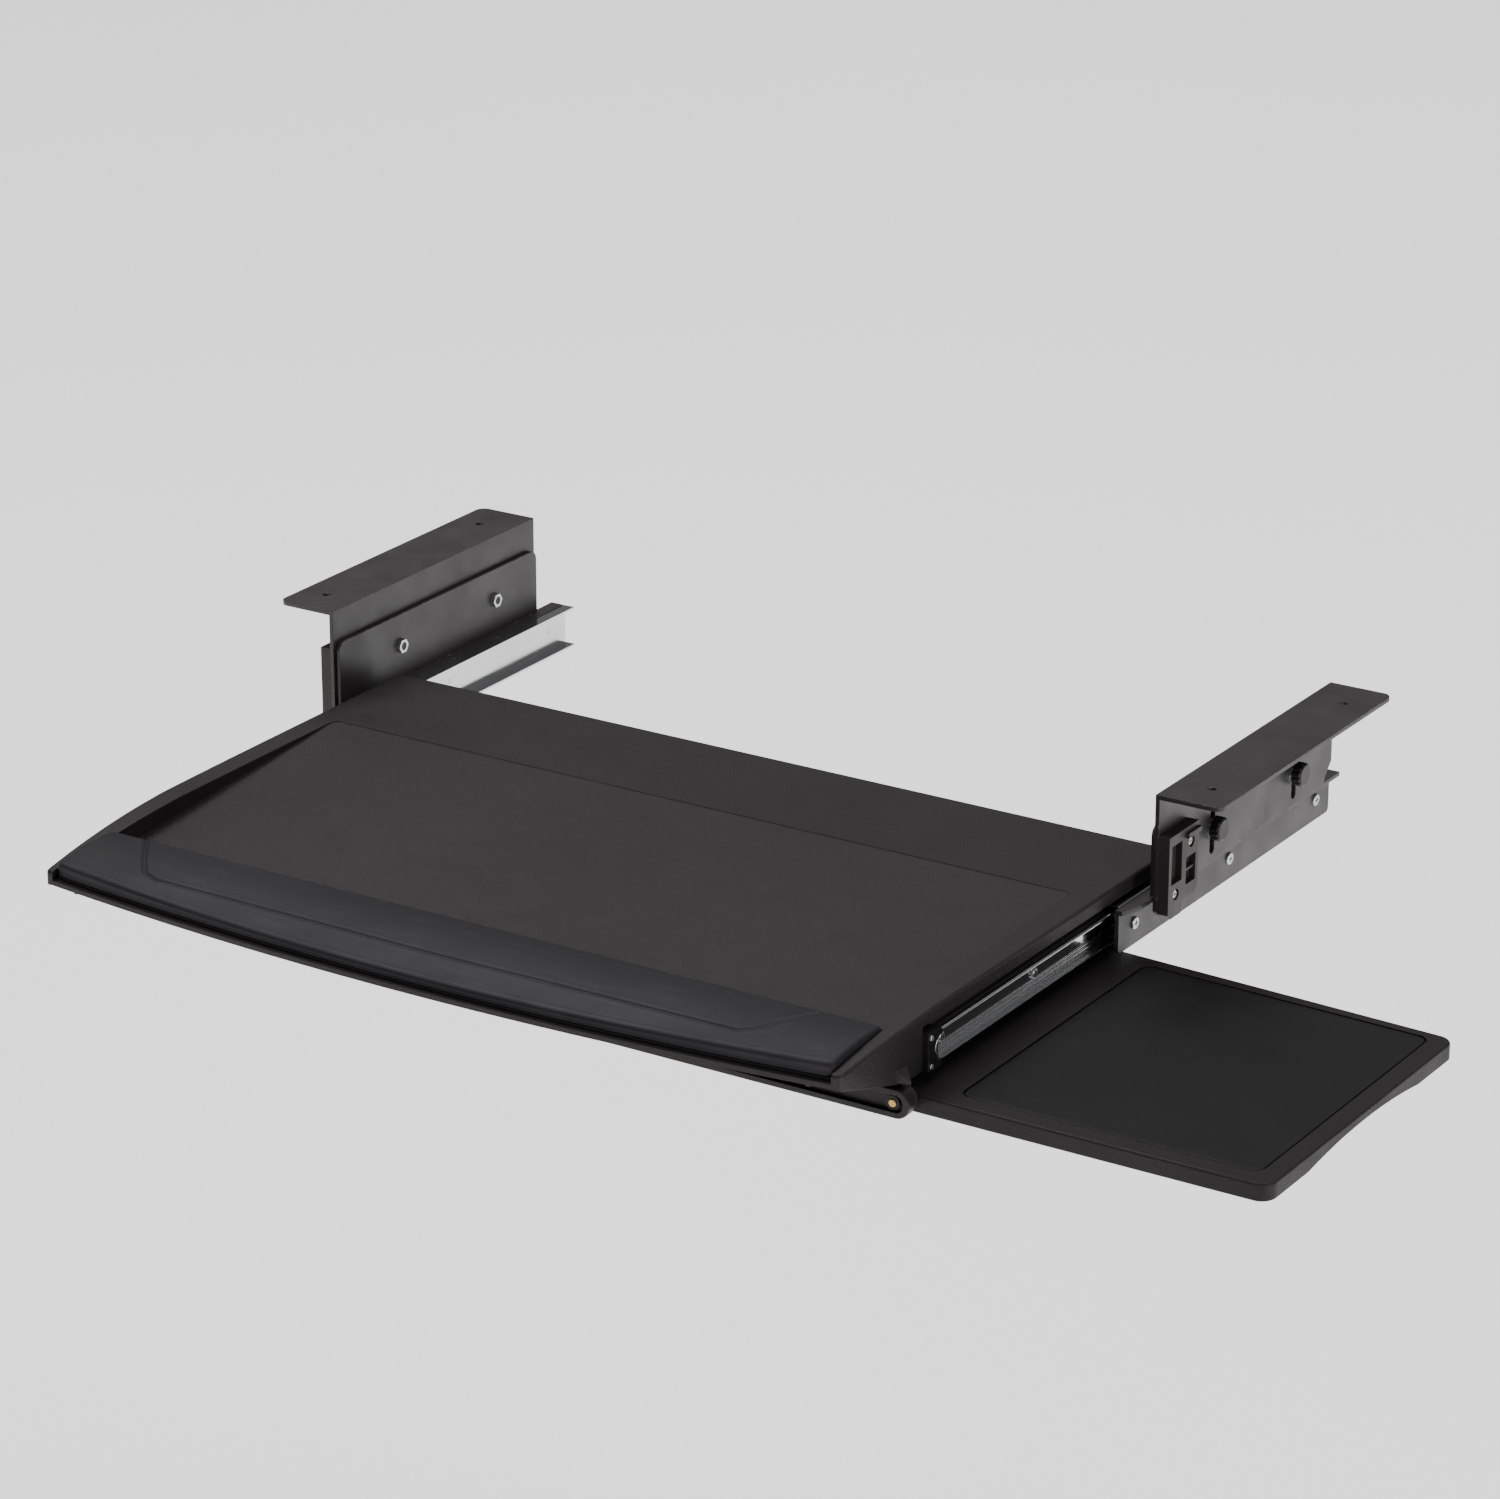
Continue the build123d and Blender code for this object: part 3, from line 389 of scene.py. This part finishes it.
def rest_section(x):
    """Closed outline in Y and Z, in millimetres, of the wrist rest at one X."""
    front = REST_FRONT + REST_SAG * (x / REST_HALF) ** 2
    top_y = np.linspace(REST_BACK - REST_BACK_R, front + REST_FOLD_DEPTH, REST_ROWS)
    top_z = np.polyval(REST_CURVE, top_y - REST_BACK)
    fold = np.linspace(0.0, math.pi / 2, 12)[1:]
    fold_y = front + REST_FOLD_DEPTH * (1 - np.sin(fold))
    fold_z = top_z[-1] - REST_FOLD_DROP * (1 - np.cos(fold))
    face_z = np.linspace(fold_z[-1], REST_BASE + REST_FOOT, 6)[1:]
    face_y = front + REST_HOLLOW * np.sin(np.linspace(0, math.pi, 5))
    back = np.linspace(0.0, math.pi / 2, 5)[1:-1]
    back_top = REST_TOP[0][1]
    y = [REST_BACK - REST_HEEL_Y, REST_BACK, REST_BACK]
    z = [REST_BASE, REST_BASE + REST_HEEL_Z, back_top - REST_BACK_R]
    y += list(REST_BACK - REST_BACK_R * (1 - np.cos(back)))
    z += list(back_top - REST_BACK_R * (1 - np.sin(back)))
    y += list(top_y) + list(fold_y) + list(face_y) + [front + REST_FOOT]
    z += list(top_z) + list(fold_z) + list(face_z) + [REST_BASE]
    return np.array(y), np.array(z)


def wrist_rest(material):
    """Crowned pad with a moulded groove, soft front fold and rounded ends."""
    curl = REST_END_R * (1 - np.cos(np.linspace(0, math.pi / 2, 9)[:-1]))
    body = np.linspace(REST_END_R - REST_HALF, REST_HALF - REST_END_R, REST_COLUMNS)
    xs = np.concatenate((-REST_HALF + curl, body, (REST_HALF - curl)[::-1]))
    points = []
    for x in xs:
        y, z = rest_section(x)
        on_top = np.clip((z - (REST_BASE + GROOVE_FADE)) / GROOVE_FADE, 0.0, 1.0)
        groove = distance_to_path(np.full(len(y), x), y, GROOVE_PATH)
        z = z - GROOVE_DEPTH * on_top * np.exp(-(groove / GROOVE_WIDTH) ** 2)
        z = z + BANK_HEIGHT * on_top * np.exp(-((groove - BANK_AT * GROOVE_WIDTH) / BANK_WIDTH) ** 2)
        drop = REST_END_R * quarter_drop(abs(x) - REST_HALF + REST_END_R, REST_END_R)
        z = z - drop * (z - REST_BASE) / REST_HEIGHT
        lift = REST_CORNER_R * quarter_drop(abs(x) - REST_HALF + REST_CORNER_R, REST_CORNER_R)
        z = np.maximum(z, REST_BASE + REST_CORNER_SHARE * lift)
        y = y + (y < REST_BACK - REST_FRONT_PART) * drop * 0.5
        points += [(x * MM, b * MM, c * MM) for b, c in zip(y, z)]
    rows = len(points) // len(xs)
    rest = new_object("wrist_rest_pad", points, tube_faces(len(xs), rows), material)
    turn_outward(rest.data)
    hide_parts("wrist_rest")
    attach(rest, "drawer")


def rounded_outline(corners, radius, steps=10):
    """Outline in X and Y with an arc at each corner of a convex polygon listed anticlockwise."""
    outline = []
    for i, corner in enumerate(corners):
        p = np.array(corner)
        a = np.array(corners[i - 1]) - p
        b = np.array(corners[(i + 1) % len(corners)]) - p
        a, b = a / np.linalg.norm(a), b / np.linalg.norm(b)
        half = math.acos(float(a @ b)) / 2
        centre = p + (a + b) / np.linalg.norm(a + b) * radius / math.sin(half)
        start, end = p + a * radius / math.tan(half), p + b * radius / math.tan(half)
        t0 = math.atan2(*(start - centre)[::-1])
        t1 = math.atan2(*(end - centre)[::-1])
        if t1 < t0:
            t1 += 2 * math.pi
        turn = np.linspace(t0, t1, steps)
        outline += [centre + radius * np.array((math.cos(t), math.sin(t))) for t in turn]
    return outline


def mouse_pad(material):
    """Thin foam sheet under a film: the film's edge is rounded and stands a little proud of the foam."""
    centre = np.mean(PAD_CORNERS, axis=0)
    top = PAD_FLOOR + PAD_THICK
    rings = [(0.5, PAD_FLOOR), (0.45, top - 0.75), (0.05, top - 0.62), (0.0, top - 0.42), (0.08, top - 0.2),
             (0.3, top - 0.05), (0.7, top)]
    points, faces = [], []
    for inset, z in rings:
        corners = [tuple(c + (centre - c) / np.linalg.norm(centre - c) * inset * PAD_DIAGONAL)
                   for c in np.array(PAD_CORNERS)]
        points += [(p[0] * MM, p[1] * MM, z * MM) for p in rounded_outline(corners, PAD_CORNER_R)]
    count = len(points) // len(rings)
    rim = np.array(points[-count:])
    middle = np.array((centre[0] * MM, centre[1] * MM, top * MM))
    for k in range(1, PAD_RINGS):
        t = k / PAD_RINGS
        ring = rim * (1 - t) + middle * t
        wave = PAD_WAVE * np.sin(ring[:, 0] * PAD_WAVE_X) * np.cos(ring[:, 1] * PAD_WAVE_Y)
        ring[:, 2] += (wave - PAD_WAVE) * MM * min(1.0, t * 6)
        points += [tuple(p) for p in ring]
    total = len(rings) + PAD_RINGS - 1
    for k in range(total - 1):
        for i in range(count):
            a, b = k * count + i, k * count + (i + 1) % count
            faces.append((a, b, b + count, a + count))
    faces.append(tuple(range(count - 1, -1, -1)))
    faces.append(tuple(range((total - 1) * count, total * count)))
    pad = new_object("mouse_pad_film", points, faces, material)
    turn_outward(pad.data)
    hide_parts("mouse_pad")
    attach(pad, "mouse_tray")


def arc(x, z, radius, start, end, steps=7):
    """Points on an arc in X and Z, angles in degrees."""
    return [(x + radius * math.cos(math.radians(t)), z + radius * math.sin(math.radians(t)))
            for t in np.linspace(start, end, steps)]


def slide_outline():
    """Closed outline in X and Z, in millimetres, of a roll-formed member that opens outwards."""
    half, t, lip = SLIDE_HALF, SLIDE_SHEET, SLIDE_DEPTH
    corner, bend = SLIDE_OUTER_R, SLIDE_INNER_R
    upper = arc(lip - t, half - t, t, 0, 90) + [(2.4, half)] + arc(corner, half - corner, corner, 90, 180)
    outside = upper + [(x, -z) for x, z in reversed(upper)]
    inner = [(lip - SLIDE_LIP, -half + t), (2.2, -half + t)]
    inner += arc(t + bend, -half + t + bend, bend, 270, 180, 5)
    for z, w in SLIDE_RIBS:
        inner += [(t, z - w)] + arc(t, z, w, -70, 70) + [(t, z + w)]
    inner += arc(t + bend, half - t - bend, bend, 180, 90, 5)
    return outside + inner + [(2.2, half - t), (lip - SLIDE_LIP, half - t)]


def slide_member(side, material):
    """Roll-formed inner slide member with beaded edges, stiffening ribs and a pressed end."""
    outline = slide_outline()
    lengths = list(SLIDE_END_STEPS) + list(np.linspace(8.0, SLIDE_LENGTH - 8.0, 20))
    lengths += [SLIDE_LENGTH - 3.0, SLIDE_LENGTH - 0.4, SLIDE_LENGTH]
    points = []
    for d in lengths:
        pinch = SLIDE_PINCH * math.exp(-min(d, SLIDE_LENGTH - d) / SLIDE_PINCH_LENGTH)
        points += [(side * (SLIDE_X + max(0.05, x - pinch)) * MM, (SLIDE_Y + d) * MM,
                    (SLIDE_Z + z * (1 - pinch / SLIDE_HALF)) * MM) for x, z in outline]
    hand = "right" if side > 0 else "left"
    faces = tube_faces(len(lengths), len(outline))
    member = new_object(hand + "_inner_slide_member", points, faces, material)
    turn_outward(member.data)
    member.data.set_sharp_from_angle(angle=math.radians(SLIDE_SHARP))
    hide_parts(hand + "_slide_inner")
    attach(member, "drawer")


# ---- floor, light and camera ---------------------------------------------
def add_floor():
    half = FLOOR_SIZE / 2
    corners = [(x, y, FLOOR_Z) for x, y in ((-half, -half), (half, -half), (half, half), (-half, half))]
    floor = new_object("floor", corners, [(0, 1, 2, 3)], floor_paint("floor_paint"), smooth=False)


def aim(place, target):
    forward = (Vector(target) - Vector(place)).normalized()
    return Matrix.Translation(place) @ forward.to_track_quat("-Z", "Y").to_matrix().to_4x4()


def add_lights():
    for name, place, target, wide, high, watts in LIGHTS:
        data = bpy.data.lights.new(name, "AREA")
        data.shape = "RECTANGLE"
        data.size, data.size_y, data.energy = wide, high, watts
        light = bpy.data.objects.new(name, data)
        light.matrix_world = aim(place, target)
        bpy.context.scene.collection.objects.link(light)


def add_sky():
    """Soft studio surround, darker near the horizon than overhead."""
    world = bpy.data.worlds.new("studio")
    world.use_nodes = True
    tree = world.node_tree
    tree.nodes.clear()
    coords = tree.nodes.new("ShaderNodeTexCoord")
    split = tree.nodes.new("ShaderNodeSeparateXYZ")
    ramp = tree.nodes.new("ShaderNodeMapRange")
    back = tree.nodes.new("ShaderNodeBackground")
    out = tree.nodes.new("ShaderNodeOutputWorld")
    tree.links.new(coords.outputs["Generated"], split.inputs[0])
    tree.links.new(split.outputs["Z"], ramp.inputs["Value"])
    for key, value in (("From Min", 0.1), ("From Max", 0.95), ("To Min", SKY_LOW), ("To Max", SKY_HIGH)):
        ramp.inputs[key].default_value = value
    tree.links.new(ramp.outputs[0], back.inputs["Strength"])
    tree.links.new(back.outputs[0], out.inputs[0])
    back.inputs["Color"].default_value = (1.0, 0.995, 0.985, 1.0)
    bpy.context.scene.world = world


def add_camera():
    data = bpy.data.cameras.new("camera")
    data.lens = CAMERA_LENS
    data.sensor_width = 36.0
    data.clip_end = 60.0
    az, el = math.radians(CAMERA_AZIMUTH), math.radians(CAMERA_ELEVATION)
    forward = Vector((-math.sin(az) * math.cos(el), math.cos(az) * math.cos(el), -math.sin(el)))
    camera = bpy.data.objects.new("camera", data)
    camera.matrix_world = aim(CAMERA_AT, Vector(CAMERA_AT) + forward)
    bpy.context.scene.collection.objects.link(camera)
    bpy.context.scene.camera = camera


def paint_nodes(frame, materials):
    slots = {s["node"]: s["material_slot"] for s in frame["record"]["subparts"]}
    for name, obj in frame["nodes"].items():
        for place in obj.material_slots:
            place.material = materials[slots[name]]


def main():
    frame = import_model()
    materials = make_materials()
    paint_nodes(frame, materials)
    wrist_rest(materials["rest_skin"])
    mouse_pad(materials["pad_surface"])
    for side in (1, -1):
        slide_member(side, materials["zinc_slide"])
    add_floor()
    add_lights()
    add_sky()
    add_camera()


main()
